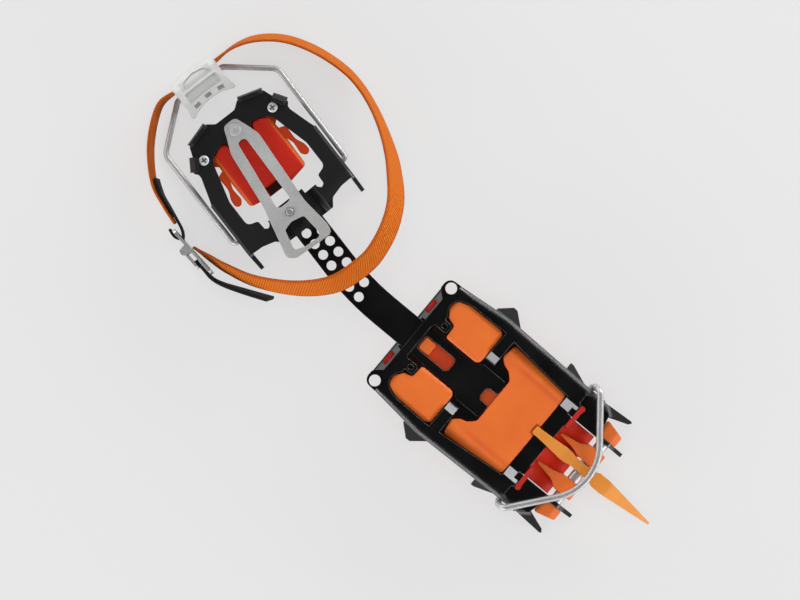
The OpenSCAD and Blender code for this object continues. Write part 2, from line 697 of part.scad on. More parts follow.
module heel_antisnow() color(red) at_heel() difference() {
    union() {
        plate(both([
            [-72, 0], [-73.5, 26, 3], [-69, 33, 3], [-58, 34, 3], [-56, 27, 3],
            [-53, 23.6, 2], [-19, 23.6, 3],
            [-16.4, 9, 2], [-16.4, 0]]), snow_low, snow_low + 3);
        crowned(both([
            [-58.2, 0], [-58.2, 10, 2], [-64.4, 12.6, 3], [-59.8, 23.4, 6.5], [-49, 24.4, 6],
            [-19, 23.8, 3],
            [-16.4, 9.6, 3], [-16.4, 0]]),
            crown(-65, -16.4, snow_low + 2, -0.6, 3, 4), crown(-24.4, 24.4, snow_low + 2, -0.6, 4, 6));
        crowned([[-66, -20, 6], [-66, 20, 6], [-21, 20, 6], [-21, -20, 6]],
            crown(-66, -21, snow_low + 1, snow_low - 4, 4, 5),
                crown(-20, 20, snow_low + 1, snow_low - 4, 5, 6));
        two_sides() {
            snow_clip();
            translate([screw_at[0], screw_at[1], snow_low]) cylinder(d = 11.6,
                h = -sheet_t - 0.1 - snow_low);
        }
    }
    // tunnel for the tail of the link bar
    translate([-64.5, -13, bar_bottom - 0.5]) cube([60, 26, bar_t + 1]);
    plate([[-23, 1.5, 1.5], [-23, -9, 1.5], [-10, -9], [-10, 1.5]], bar_bottom, 1);
    two_sides() {
        translate([screw_at[0], screw_at[1], snow_low - 1]) cylinder(d = 4.4, h = 20);
        translate([screw_at[0], screw_at[1], snow_low - 1]) cylinder(d = 8.6, h = 4);
    }
}

module heel_screws() color(bright) at_heel() two_sides() {
    translate([screw_at[0], screw_at[1], 0]) difference() {
        union() {
            translate([0, 0, -10.4]) cylinder(d = 4, h = 10.5);
            cylinder(d = 6.8, h = 0.7);
            translate([0, 0, 0.7]) cylinder(d1 = 6.8, d2 = 5.4, h = 0.5);
        }
        translate([-2, -0.5, 0.4]) cube([4, 1, 2]);
        translate([-0.5, -2, 0.4]) cube([1, 4, 2]);
    }
}

module heel_nuts() color(bright) at_heel() two_sides() {
    translate([screw_at[0], screw_at[1], -11]) difference() {
        cylinder(d = 8, h = 2.9, $fn = 6);
        translate([0, 0, -1]) cylinder(d = 4.1, h = 5);
    }
}

spring_low = 0.2;
spring_high = spring_low + spring_t;

module adjuster_rivet() color(bright) at_heel() translate([rivet_x, 0, 0]) {
    translate([0, 0, -sheet_t]) cylinder(d = 6, h = sheet_t + spring_high + 0.3);
    translate([0, 0, spring_high + 0.1]) difference() {
        union() {
            cylinder(d = 8.6, h = 0.4);
            translate([0, 0, 0.4]) cylinder(d1 = 8.6, d2 = 7.4, h = 0.5);
        }
        translate([0, 0, 0.55]) cylinder(d1 = 3.4, d2 = 4.4, h = 0.5);
    }
}

module adjuster_spring() color(bright) at_heel() difference() {
    plate([
        [-73, -5, 4], [-73, 5, 4], [-66, 7.6, 6], [-55, 11.3, 6], [0, 8, 30], [22, 10.6, 5], [29, 9, 3.5],
        [27.6, -20, 5], [24, -25.6, 4], [14, -23.2, 8], [-15, -16.6, 40], [-55, -12.4, 6],
        [-66, -7.6, 6]],
        spring_low, spring_high);
    plate([[-58.5, 2.3, 2.8], [-6, 1.2, 3], [-6, -10.3, 3], [-58.5, -4.2, 2.8]], -1, 4);
    plate([[8, 1.2, 2], [22.5, 2.6, 2.5], [25.6, 1, 2], [25, -11, 6], [22.4, -18.2, 2.5],
        [8, -14.8, 2], [6, -8, 4]],
        -1, 4);
    translate([rivet_x, 0, -1]) cylinder(d = 6.8, h = 5);
    translate([0, -bar_row, -1]) cylinder(d = pin_d - 1, h = 5);
}

module adjuster_pin() color(bright) at_heel() translate([0, -bar_row, 0]) {
    translate([0, 0, bar_bottom + 0.2]) cylinder(d = pin_d, h = spring_low - 0.1 - bar_bottom - 0.2);
    translate([0, 0, spring_low - 0.2]) cylinder(d = pin_d - 1.2, h = spring_t + 0.6);
    translate([0, 0, spring_high + 0.1]) {
        cylinder(d = pin_d + 0.6, h = 0.5);
        translate([0, 0, 0.5]) cylinder(d1 = pin_d - 1, d2 = pin_d - 2.4, h = 0.8);
    }
}

module heel_bail() color(bright) at_heel()
    translate([heel_pivot[0], 0, heel_pivot[1]]) rotate([0, -heel_bail_droop, 0]) {
        side = heel_half + 3;
        half_line = bent([
            [[0, side - 5, 0], 0], [[0, side, 0], 2.6], [[-79.8, side + 0.6, 0], 9],
            [[-lever_arm, lever_half + 1.9, 0], 3],
            [[-lever_arm, lever_half, 0], 0]]);
        two_sides() {
            tube(half_line, heel_wire_d - wire_step, [0, 0, 1]);
            bore_y(0, 0, heel_wire_d, heel_half - 6, side - 2.7);
        }
        bore_y(-lever_arm, 0, heel_wire_d, -lever_half - 0.4, lever_half + 0.4);
    }

lever_top = [[-12.5, -10.5], [-12.5, -3, 4], [-6, 5.4, 6], [4, 7, 12], [18, 4, 1], [18, 1.2, 1]];

module lever_plan(low, high) {
    plate(both([
        [-12.5, 0], [-12.4, 6, 6], [-10.5, lever_half, 4], [10, lever_half, 8],
        [17.3, lever_half + 2, 1.5],
        [13, 8, 12], [12.2, 0]]), low, high);
}

// Shallow panel sunk into the lever's back
module lever_panel(plan) {
    depth = 0.9;
    difference() {
        plate(both(plan), -6, 12);
        translate([0, 0, -depth]) along_y(concat([[-13, -20]], [for (i = [1 : 4]) lever_top[i]],
            [[18, -20]]), -25, 25);
    }
}

module heel_lever() color(white) at_lever() difference() {
    union() {
        intersection() {
            lever_plan(-12, 9);
            union() {
                along_y(concat(lever_top, [[9, 3.6, 4], [2, 4.4, 10], [-5, 2.6, 5], [-9.8, -4, 4],
                    [-9.8, -10.5]]),
                    -25, 25);
                two_sides() along_y(concat(lever_top, [[6, -7, 4],
                    [-4, -10.5, 4]]), lever_half - 2.6, 25);
            }
        }
        bore_y(0, 0, heel_wire_d + 4.4, -lever_half, lever_half);
    }
    bore_y(0, 0, heel_wire_d + 2 * wire_play, -30, 30);
    for (a = [-1 : 1]) {
        translate([9.6 + 1.2 * abs(a), 10 * a, 4.6]) rotate([0, 0, -8 * a])
            translate([-1.3, -2.4, 0]) cube([2.6, 4.8, 8]);
    }
    lever_panel([[-9.4, 0], [-7.4, 8.4, 6], [-1.8, 13, 2], [-1.8, 0]]);
    lever_panel([[0, 0], [0, 13.2, 1.5], [7.6, 14.4, 1.5], [6.8, 7], [6.6, 0]]);
}

module strap_long() color(webbing) at_heel() web_along(long_route, 3, strap_w, strap_t);
module strap_short() color(webbing) at_heel() web_along(short_route, 4, strap_w, strap_t);
module strap_loop() color(steel) at_heel() web_along(loop_route, 4, strap_w - 1, strap_t - 0.4);
module strap_tip() color(steel) at_heel() web_along(tip_route, 3, strap_w - 0.4, strap_t + 0.4);

ear_t = 1.7;

module buckle_frame() color(bright) at_buckle() difference() {
    union() {
        along_y([
            [-20, -buckle_half, 4], [20, -buckle_half, 4], [20, buckle_half, 4],
            [-20, buckle_half, 4]], -1, 1);
        for (side = [0, 1]) {
            mirror([0, 0, side])
                plate([[-7.4, 0], [-6.4, -6.8, 2], [-1.6, -6.8, 2],
                    [-0.6, 0]], buckle_half - ear_t, buckle_half);
        }
    }
    translate([buckle_pivot[0], buckle_pivot[1], -buckle_half - 1])
        cylinder(d = buckle_pivot_d + 2 * wire_play, h = 2 * buckle_half + 2);
    along_y([
        [-16.4, -strap_w / 2 - 0.6, 1.4], [-9, -strap_w / 2 - 0.6, 1.4], [-9, strap_w / 2 + 0.6, 1.4],
        [-16.4, strap_w / 2 + 0.6, 1.4]], -3, 3);
    along_y([
        [4, -strap_w / 2 - 0.6, 1.4], [16, -strap_w / 2 - 0.6, 1.4], [16, strap_w / 2 + 0.6, 1.4],
        [4, strap_w / 2 + 0.6, 1.4]], -3, 3);
}

module buckle_lever() color(bright) at_buckle() difference() {
    half = buckle_half - ear_t - 0.4;
    union() {
        along_y([[-5.6, -half, 2], [11, -half, 3], [11, half, 3], [-5.6, half, 2]], -5.4, -3.8);
        translate([buckle_pivot[0], buckle_pivot[1], -half]) cylinder(d = 3, h = 2 * half);
        translate([buckle_pivot[0], buckle_pivot[1], 0.1 - buckle_half])
            cylinder(d = buckle_pivot_d, h = 2 * buckle_half - 0.2);
    }
    along_y([[0, 1 - strap_w / 2, 1.4], [7, 1 - strap_w / 2, 1.4], [7, strap_w / 2 - 1, 1.4],
        [0, strap_w / 2 - 1, 1.4]],
        -8, 0);
}

front_frame();
link_bar();
front_antisnow();
front_point();
point_bolt();
point_nut();
point_sleeves();
point_washer();
spacer_block_left();
spacer_block_right();
end_block_left();
end_block_right();
front_bail();
heel_plate();
heel_antisnow();
heel_screws();
heel_nuts();
adjuster_rivet();
adjuster_spring();
adjuster_pin();
heel_bail();
heel_lever();
strap_long();
strap_short();
strap_loop();
strap_tip();
buckle_frame();
buckle_lever();
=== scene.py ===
import bmesh
import bpy
import math
import numpy as np
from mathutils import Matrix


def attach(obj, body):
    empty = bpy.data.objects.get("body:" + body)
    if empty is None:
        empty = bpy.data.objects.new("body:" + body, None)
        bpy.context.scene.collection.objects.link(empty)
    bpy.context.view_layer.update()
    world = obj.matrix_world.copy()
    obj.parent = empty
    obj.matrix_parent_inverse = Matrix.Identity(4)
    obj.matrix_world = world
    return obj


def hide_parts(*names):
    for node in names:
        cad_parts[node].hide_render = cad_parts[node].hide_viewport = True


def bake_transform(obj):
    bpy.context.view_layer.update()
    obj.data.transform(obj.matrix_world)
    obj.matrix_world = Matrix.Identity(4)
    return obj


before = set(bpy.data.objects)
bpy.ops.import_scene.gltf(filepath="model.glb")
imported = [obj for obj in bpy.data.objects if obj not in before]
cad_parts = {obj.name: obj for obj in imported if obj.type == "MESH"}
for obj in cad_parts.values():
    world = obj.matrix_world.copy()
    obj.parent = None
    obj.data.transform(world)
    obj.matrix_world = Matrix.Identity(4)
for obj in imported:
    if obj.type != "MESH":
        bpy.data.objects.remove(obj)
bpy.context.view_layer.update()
print("frame loaded:", len(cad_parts), "nodes")

mm = 0.001

# where the heel section sits on the bent link bar, as in the part's source
heelPlace = {"origin": (-119.736, 15.194), "cos": 0.976296, "sin": 0.216440,
             "leverAxis": (-107.969, -33.046), "leverHalf": 17.6}


def heelToRow(pts):
    # a point behind the heel origin, turned by the bar's bend, from millimetres to metres
    pts = np.asarray(pts, float)
    c, s = heelPlace["cos"], heelPlace["sin"]
    x = heelPlace["origin"][0] + pts[..., 0] * c + pts[..., 1] * s
    y = heelPlace["origin"][1] - pts[..., 0] * s + pts[..., 1] * c
    return np.stack([x, y, pts[..., 2]], -1) * mm


# straight down on the part and turned with it; field is the picture's width in millimetres
shot = {"centre": (-25.2, 12.3), "turn": 39.7, "field": 544.0, "height": 2.6, "level": -12.0}
camData = bpy.data.cameras.new("shotCamera")
camData.sensor_fit = "HORIZONTAL"
camData.sensor_width = 36
camData.lens = 36 * shot["height"] / (shot["field"] * mm)
camera = bpy.data.objects.new("shotCamera", camData)
camera.location = (*(c * mm for c in shot["centre"]), shot["level"] * mm + shot["height"])
camera.rotation_euler = (0, 0, math.radians(shot["turn"]))
bpy.context.scene.collection.objects.link(camera)
bpy.context.scene.camera = camera
bpy.context.scene.view_settings.view_transform = "Standard"


class Value:
    # a number that runs through a material; sums and products of it become Math nodes
    def __init__(self, mat, socket):
        self.mat, self.socket = mat, socket

    def math(self, kind, a, b):
        return Value(self.mat, self.mat.add("ShaderNodeMath", {"operation": kind}, {0: a, 1: b}).outputs[0])

    def __add__(self, other):
        return self.math("ADD", self, other)

    def __radd__(self, other):
        return self.math("ADD", other, self)

    def __sub__(self, other):
        return self.math("SUBTRACT", self, other)

    def __rsub__(self, other):
        return self.math("SUBTRACT", other, self)

    def __mul__(self, other):
        return self.math("MULTIPLY", self, other)

    def __rmul__(self, other):
        return self.math("MULTIPLY", other, self)

    def __truediv__(self, other):
        return self.math("DIVIDE", self, other)

    def wave(self):
        return self.math("SINE", self, 0)

    def clip(self, low, high):
        # 0 below low, 1 above high, smooth between
        node = self.mat.add("ShaderNodeMapRange", {"interpolation_type": "SMOOTHSTEP"},
                            {"Value": self, "From Min": low, "From Max": high})
        return Value(self.mat, node.outputs["Result"])


class Nodes:
    # a tree of nodes, each given by its type, its settings and what goes into its sockets
    def __init__(self, tree):
        self.tree = tree

    def put(self, socket, value):
        if isinstance(value, Value):
            value = value.socket
        if isinstance(value, bpy.types.NodeSocket):
            self.tree.links.new(value, socket)
        else:
            socket.default_value = value

    def add(self, kind, settings, sockets):
        node = self.tree.nodes.new(kind)
        for key, value in settings.items():
            if key == "stops":
                ramp = node.color_ramp
                while len(ramp.elements) < len(value):
                    ramp.elements.new(0.5)
                for element, (place, colour) in zip(ramp.elements, value):
                    element.position, element.color = place, (*colour, 1)
            else:
                setattr(node, key, value)
        for key, value in sockets.items():
            self.put(node.inputs[key], value)
        return node

    def mix(self, factor, a, b):
        node = self.add("ShaderNodeMix", {"data_type": "RGBA"}, {})
        self.put(node.inputs[0], factor)
        for socket, value in ((node.inputs[6], a), (node.inputs[7], b)):
            self.put(socket, (*value, 1) if isinstance(value, tuple) and len(value) == 3 else value)
        return node.outputs[2]


class Finish(Nodes):
    # one material, its nodes and its shader
    def __init__(self, name, **sockets):
        self.data = bpy.data.materials.new(name)
        self.data.use_nodes = True
        super().__init__(self.data.node_tree)
        self.shader = self.tree.nodes["Principled BSDF"]
        self.coords = self.tree.nodes.new("ShaderNodeTexCoord")
        self.paint(**sockets)

    def at(self, stretch=(1, 1, 1), turn=(0, 0, 0)):
        # object coordinates, stretched and turned
        node = self.add("ShaderNodeMapping", {},
                        {"Vector": self.coords.outputs["Object"], "Scale": stretch, "Rotation": turn})
        return node.outputs["Vector"]

    def uv(self):
        node = self.add("ShaderNodeSeparateXYZ", {}, {"Vector": self.coords.outputs["UV"]})
        return Value(self, node.outputs["X"]), Value(self, node.outputs["Y"])

    def axis(self, name):
        node = self.add("ShaderNodeSeparateXYZ", {}, {"Vector": self.coords.outputs["Object"]})
        return Value(self, node.outputs[name])

    def fromHeel(self):
        # x and y counted from the heel's origin
        x, y = heelPlace["origin"]
        return self.axis("X") - x * mm, self.axis("Y") - y * mm

    def heelAlong(self):
        # distance ahead of the heel's origin, along the bar's straight part
        x, y = self.fromHeel()
        return x * heelPlace["cos"] - y * heelPlace["sin"]

    def heelSide(self):
        # distance to the left of the heel's middle line
        x, y = self.fromHeel()
        return x * heelPlace["sin"] + y * heelPlace["cos"]

    def noise(self, scale, detail=4, vector=None):
        node = self.add("ShaderNodeTexNoise", {},
                        {"Vector": vector or self.coords.outputs["Object"], "Scale": scale, "Detail": detail,
                         "Roughness": 0.55})
        return Value(self, node.outputs["Fac"])

    def edges(self, radius):
        # rounded normals, and a mask of how far they turn from the flat face
        soft = self.add("ShaderNodeBevel", {"samples": 6}, {"Radius": radius})
        flat = self.add("ShaderNodeNewGeometry", {}, {})
        dot = self.add("ShaderNodeVectorMath", {"operation": "DOT_PRODUCT"},
                       {0: soft.outputs["Normal"], 1: flat.outputs["Normal"]})
        return soft.outputs["Normal"], 1 - Value(self, dot.outputs["Value"])

    def bump(self, height, distance, strength=1.0, normal=None):
        sockets = {"Height": height, "Distance": distance, "Strength": strength}
        if normal is not None:
            sockets["Normal"] = normal
        self.put(self.shader.inputs["Normal"], self.add("ShaderNodeBump", {}, sockets).outputs["Normal"])

    def paint(self, **sockets):
        for key, value in sockets.items():
            self.put(self.shader.inputs[key.replace("_", " ")], value)
        return self.data


def blackSteelFinish():
    # coated sheet: upper faces and folds are a hard semi-gloss black, the walls and points below are dull;
    # fine orange-peel grain, handling clouds, the coat rubbed along its edges, a wide roll on the toe's rails
    f = Finish("blackSteel", Specular_IOR_Level=0.1)
    soft, turned = f.edges(0.6 * mm)
    cloud = f.noise(35, 4)
    x, y, z = f.axis("X"), f.axis("Y"), f.axis("Z")
    upper = z.clip(-13 * mm, -7 * mm)
    rub = (turned * 5).clip(0.25, 0.9) * f.noise(150, 5).clip(0.45, 0.72)
    scratch = f.noise(60, 6, f.at((1, 14, 1), (0, 0, 0.9))).clip(0.66, 0.72) * f.noise(22, 2).clip(0.45, 0.65)
    gloss = f.mix(cloud.clip(0.3, 0.75), (0.085, 0.085, 0.088), (0.12, 0.12, 0.123))
    heel, stops = (-100 * mm - x).clip(0, 12 * mm), z.clip(1 * mm, 2 * mm)
    gloss = f.mix(heel, gloss, (0.026, 0.026, 0.027))           # the heel is walked half matt
    gloss = f.mix(stops, gloss, (0.012, 0.012, 0.0125))         # and its stops are dull
    dull = f.mix(cloud.clip(0.3, 0.75), (0.0035, 0.0035, 0.0038), (0.007, 0.007, 0.0074))
    colour = f.mix(upper, dull, gloss)
    colour = f.mix((rub * 0.22 + scratch * 0.08) * (0.3 + 0.7 * upper), colour, (0.24, 0.24, 0.236))
    rail = (y * y).clip(42.5e-3 ** 2, 44.5e-3 ** 2) * x.clip(4 * mm, 9 * mm) * upper
    rolled = f.mix(rail, soft, f.edges(5 * mm)[0])
    f.bump(f.noise(1500, 3), 0.02 * mm, 0.25, rolled)
    rough = 0.64 - 0.4 * upper + 0.06 * heel + 0.14 * stops + 0.08 * cloud + 0.08 * scratch
    return f.paint(Base_Color=colour, Roughness=rough, Metallic=upper * (1 - 0.5 * heel) * (1 - stops))


def padFinish(spec):
    # moulded pads of the toe plate: orange crowns with painted shade that reddens them towards their edges,
    # lower down and in the valleys beside the raised wings, red deck with painted shade on its top under the
    # frame, and toe apron, a bright keeper in the bar's slot and notch; spark-eroded grain, flow clouds,
    # scuffs from the boot sole
    f = Finish("orangePads", Specular_IOR_Level=0.35)
    soft, turned = f.edges(1.3 * mm)
    x, y, z = f.axis("X"), f.axis("Y"), f.axis("Z")
    cloud = f.noise(26, 4)
    crown = f.mix(cloud.clip(0.25, 0.8), spec["deep"], spec["main"])
    # painted shade: the crowns redden where they round over at their edges
    crown = f.mix((turned * 3).clip(0.05, 0.8) * 0.75, crown, spec["edge"])
    # painted shade: the crowns redden lower down
    crown = f.mix((-4.6 * mm - z).clip(-2.2 * mm, 2.4 * mm) * 0.7, crown, spec["edge"])
    inner, outer = (y * y).clip(24e-3 ** 2, 28.4e-3 ** 2), (y * y).clip(28.4e-3 ** 2, 30.5e-3 ** 2)
    valleyShade = (inner - outer) * x.clip(56 * mm, 74 * mm)
    crown = f.mix(valleyShade * 0.45, crown, spec["edge"])               # painted shade in the valleys beside the raised wings
    off = y - spec["seat"]
    seat = x.clip(98.6 * mm, 99.2 * mm) * (1 - (off * off).clip(4.4e-3 ** 2, 4.8e-3 ** 2))
    crown = f.mix(seat, crown, spec["main"])                        # no painted edge shade where the point's tail lies
    deck = f.mix(cloud.clip(0.25, 0.8), spec["deckDeep"], spec["deck"])
    inSlot = (x.clip(3.6 * mm, 4 * mm) - x.clip(31 * mm, 31.4 * mm)) * (1 - (y * y).clip(30e-6, 34e-6))
    inNotch = (x.clip(54 * mm, 54.4 * mm) - x.clip(70 * mm, 70.4 * mm)) * (1 - (y * y).clip(60e-6, 70e-6))
    shade = f.mix(inSlot, f.mix(inNotch, spec["shade"], spec["notch"]), spec["slot"])
    shade = f.mix(z.clip(-8.9 * mm, -8.7 * mm), deck, shade)        # the deck's top is dim under the frame
    colour = f.mix(z.clip(-8 * mm, -7.4 * mm), shade, crown)
    apron = f.mix(z.clip(-8.4 * mm, -8 * mm), deck, spec["finger"])
    colour = f.mix(x.clip(103.6 * mm, 104 * mm), colour, apron)
    colour = f.mix((-1.5 * mm - x).clip(0, 0.4 * mm), colour, deck)
    scuff = f.noise(90, 6, f.at((1, 5, 1), (0, 0, 0.6))).clip(0.64, 0.78)
    colour = f.mix(scuff * 0.1, colour, spec["worn"])
    f.bump(f.noise(2200, 2), 0.03 * mm, 0.35, soft)
    return f.paint(Base_Color=colour, Roughness=0.45 + 0.12 * cloud + 0.12 * scuff)


def blockFinish(spec):
    # the four loose blocks on the bolt: the same orange, with painted shade that reddens them lower down,
    # worn paler along their edges
    f = Finish("orangeBlocks", Specular_IOR_Level=0.35)
    soft, turned = f.edges(0.7 * mm)
    cloud = f.noise(40, 4)
    colour = f.mix(cloud.clip(0.25, 0.8), spec["deep"], spec["main"])
    # painted shade: redder lower down
    colour = f.mix((-10 * mm - f.axis("Z")).clip(0, 7 * mm) * 0.5, colour, spec["edge"])
    colour = f.mix((turned * 4).clip(0.25, 0.9) * f.noise(200, 4).clip(0.4, 0.7) * 0.3, colour, spec["worn"])
    f.bump(f.noise(2200, 2), 0.03 * mm, 0.35, soft)
    return f.paint(Base_Color=colour, Roughness=0.44 + 0.14 * cloud)


def domeFinish(spec):
    # heel dome: a red crown, orange flanks and redder fingers, each from a set distance off the middle line,
    # and painted shade: a dark patch in the middle of its front end and darker low faces
    f = Finish("redDome", Specular_IOR_Level=0.2)
    soft = f.edges(1.0 * mm)[0]
    cloud = f.noise(30, 4)
    along, side = f.heelAlong(), f.heelSide()
    red = f.mix(cloud.clip(0.25, 0.8), spec["domeDeep"], spec["dome"])
    orange = f.mix(cloud.clip(0.25, 0.8), spec["deep"], spec["edge"])
    flank = (side * side).clip(21.2e-3 ** 2, 22.2e-3 ** 2)
    colour = f.mix(flank, red, f.mix((side * side).clip(24.2e-3 ** 2, 25e-3 ** 2), orange, spec["clip"]))
    # painted shade standing in for a shadowed opening in the middle of the front end
    mouthShade = along.clip(-22.8 * mm, -22.2 * mm) * (1 - (side * side).clip(7.6e-3 ** 2, 8.4e-3 ** 2))
    colour = f.mix(mouthShade, colour, spec["shade"])
    # painted shade on the low faces, all but the flanks
    colour = f.mix((-7 * mm - f.axis("Z")).clip(0, 1.5 * mm) * (1 - flank), colour, spec["shade"])
    scuff = f.noise(90, 6, f.at((1, 5, 1), (0, 0, 0.4))).clip(0.64, 0.78)
    colour = f.mix(scuff * 0.12, colour, spec["worn"])
    f.bump(f.noise(2200, 2), 0.03 * mm, 0.35, soft)
    return f.paint(Base_Color=colour, Roughness=0.46 + 0.12 * cloud + 0.1 * scuff)


def amberFinish():
    # coated forging: dimpled scale under the colour, soft clouds, bare metal at the worn edges and the tip
    f = Finish("amberCoat", Specular_IOR_Level=0.45)
    soft, turned = f.edges(0.8 * mm)
    cloud = f.noise(60, 5)
    worn = (turned * 5).clip(0.25, 0.9) * f.noise(240, 4).clip(0.42, 0.66)
    tip = f.axis("X").clip(192 * mm, 204 * mm) * f.noise(300, 4).clip(0.4, 0.6)
    colour = f.mix(cloud.clip(0.25, 0.8), (0.7, 0.23, 0.022), (0.8, 0.29, 0.04))
    colour = f.mix(worn * 0.4 + tip * 0.35, colour, (0.5, 0.38, 0.26))
    f.bump(f.noise(500, 4), 0.06 * mm, 0.4, soft)
    return f.paint(Base_Color=colour, Roughness=0.4 + 0.15 * cloud, Metallic=0.1 + 0.4 * worn)


def brightFinish(name, spec):
    # bright steel: drawn or brushed streaks that run one way, a little tarnish, finger-dull clouds
    f = Finish(name)
    soft = f.edges(0.4 * mm)[0]
    line = f.noise(spec["streakScale"], 5, f.at(spec["streak"], (0, 0, math.radians(12.5))))   # along the bar
    cloud = f.noise(45, 4)
    tone = f.mix((0.55 * line + 0.45 * cloud).clip(0.25, 0.75), spec["dark"], spec["light"])
    if "crossAt" in spec:
        # painted shade in the cross recess: below the top of the head and near its middle; one distance off
        # the middle line serves both screws
        place, off = (v * mm for v in spec["crossAt"])
        along, side = f.heelAlong() - place, (f.heelSide() * f.heelSide() - off * off) / (2 * off)
        crossShade = 1 - (along * along + side * side).clip(2.3e-3 ** 2, 2.6e-3 ** 2)
        tone = f.mix(crossShade * (1 - f.axis("Z").clip(0.6 * mm, 0.9 * mm)), tone, spec["cross"])
    f.bump(line, 0.012 * mm, 0.5, soft)
    rough = spec["rough"] + 0.14 * line + 0.06 * cloud
    return f.paint(Base_Color=tone, Roughness=rough, Metallic=spec["metal"] - 0.06 * cloud)


def milkyFinish():
    # milky plastic: clear white rims, greyer in the crescent and the front band of the lever's back, painted
    # shade in its three sunk pockets, scuffed skin
    f = Finish("milkyPlastic", Specular_IOR_Level=0.45)
    soft = f.edges(0.8 * mm)[0]
    along, side, z = f.heelAlong() - heelPlace["leverAxis"][0] * mm, f.heelSide(), f.axis("Z")
    cloud = f.noise(40, 4)
    wide = (side * side).clip(12.2e-3 ** 2, 13.2e-3 ** 2)
    front = (along.clip(0.1 * mm, 0.5 * mm) - along.clip(6.6 * mm, 7.2 * mm)) * (1 - wide)
    crescent = (along.clip(-9.4 * mm, -8.2 * mm) - along.clip(-2.2 * mm, -1.8 * mm)) * (1 - wide)
    sunk = (1 - z.clip(-28.2 * mm, -28 * mm)) * z.clip(-29.2 * mm, -28.8 * mm)
    pocketShade = (along.clip(8.2 * mm, 8.4 * mm) - along.clip(12.7 * mm, 12.9 * mm)) * sunk
    scuff = f.noise(120, 6, f.at((1, 6, 1), (0, 0, 0.9))).clip(0.6, 0.8)
    colour = f.mix(cloud.clip(0.25, 0.8), (0.63, 0.635, 0.625), (0.69, 0.69, 0.677))
    colour = f.mix(crescent * 0.8 + front * 0.95, colour, (0.5, 0.51, 0.49))
    # painted shade in the three pockets
    colour = f.mix(pocketShade, colour, (0.36, 0.37, 0.36))
    colour = f.mix(scuff * 0.14, colour, (0.5, 0.5, 0.48))
    f.bump(f.noise(900, 3), 0.02 * mm, 0.4, soft)
    return f.paint(Base_Color=colour, Roughness=0.3 + 0.12 * cloud + 0.15 * scuff)


fullTurn = 6.2832
# the sewn box: squares of its half length, of where its filling ends and of its rows' place off the middle
stitch = {"box": 64e-6, "inside": (70e-6, 74e-6), "row": 36e-6, "slope": 0.56, "pitch": 2.4 * mm}


def webbingFinish(name, spec):
    # woven webbing on UV metres along and across: slanting twill ribs, yarns along, tight selvedges, a sewn
    # box with a cross where the band is stitched down, faint soiling
    f = Finish(name, Specular_IOR_Level=0.2)
    along, across = f.uv()
    edge = across * across
    twill = (along / spec["rib"] + across / spec["slant"]) * fullTurn
    ribs = twill.wave() * 0.5 + 0.5
    yarn = ((across / (0.85 * mm)) * fullTurn).wave() * 0.5 + 0.5
    fuzz = f.noise(900, 3)
    selvedge = edge.clip((spec["width"] / 2 - 1.7 * mm) ** 2, (spec["width"] / 2 - 1.3 * mm) ** 2)
    weave = (0.66 * ribs + 0.34 * yarn) * (1 - 0.5 * selvedge)
    colour = f.mix((0.75 * weave + 0.25 * fuzz).clip(0.1, 0.8), spec["deep"], spec["main"])
    colour = f.mix(f.noise(40, 4).clip(0.5, 0.85) * 0.22, colour, spec["deep"])
    sewn = (along - spec["sewnAt"]) * (along - spec["sewnAt"])
    box = (sewn - stitch["box"]) * (sewn - stitch["box"])
    inside = 1 - sewn.clip(*stitch["inside"])
    rows = (edge - stitch["row"]) * (edge - stitch["row"])
    crossing = (edge - sewn * stitch["slope"]) * (edge - sewn * stitch["slope"])
    dash = ((along + across) / stitch["pitch"] * fullTurn).wave().clip(-0.5, -0.2)
    sides = 1 - (rows * inside + (1 - inside)).clip(1.2e-11, 5e-11)
    cross = (1 - crossing.clip(0.6e-11, 3e-11)) * inside
    ends = (1 - box.clip(1.5e-11, 6e-11)) * (1 - edge.clip(38e-6, 40e-6))
    thread = (sides + cross + ends).clip(0.2, 0.8) * dash
    colour = f.mix(thread * 0.8, colour, spec["thread"])
    f.bump(weave + 0.3 * fuzz - 0.8 * thread, 0.2 * mm, 0.8)
    return f.paint(Base_Color=colour, Roughness=0.78 + 0.15 * fuzz)


plastics = {
    "main": (0.8, 0.165, 0.018), "deep": (0.72, 0.132, 0.014), "edge": (0.58, 0.06, 0.006),
    "worn": (0.9, 0.42, 0.2), "deck": (0.92, 0.034, 0.007), "deckDeep": (0.84, 0.026, 0.006),
    "finger": (0.46, 0.011, 0.004), "shade": (0.03, 0.004, 0.003), "slot": (0.9, 0.075, 0.006),
    "notch": (0.9, 0.13, 0.012), "dome": (0.55, 0.017, 0.004), "domeDeep": (0.45, 0.011, 0.003),
    "clip": (0.66, 0.05, 0.0053), "seat": 3.2 * mm}
steels = {
    "hardware": {"light": (0.68, 0.68, 0.67), "dark": (0.5, 0.5, 0.49),
                 "streak": (1, 1, 1), "streakScale": 220, "rough": 0.3, "metal": 0.72},
    "screw": {"light": (0.78, 0.79, 0.79), "dark": (0.66, 0.67, 0.67),
              "streak": (1, 1, 1), "streakScale": 220, "rough": 0.36, "metal": 0.4,
              # cross is painted shade in the screw heads' cross recesses
              "crossAt": (-63, 29.3), "cross": (0.1, 0.1, 0.102)},
    "pin": {"light": (0.42, 0.42, 0.42), "dark": (0.3, 0.3, 0.3),
            "streak": (1, 1, 1), "streakScale": 260, "rough": 0.4, "metal": 0.7},
    "wire": {"light": (0.62, 0.62, 0.62), "dark": (0.44, 0.44, 0.44),
             "streak": (1, 6, 1), "streakScale": 200, "rough": 0.36, "metal": 0.8},
    "leaf": {"light": (0.57, 0.575, 0.57), "dark": (0.41, 0.415, 0.41),
             "streak": (2, 2.6, 1), "streakScale": 420, "rough": 0.42, "metal": 0.45}}
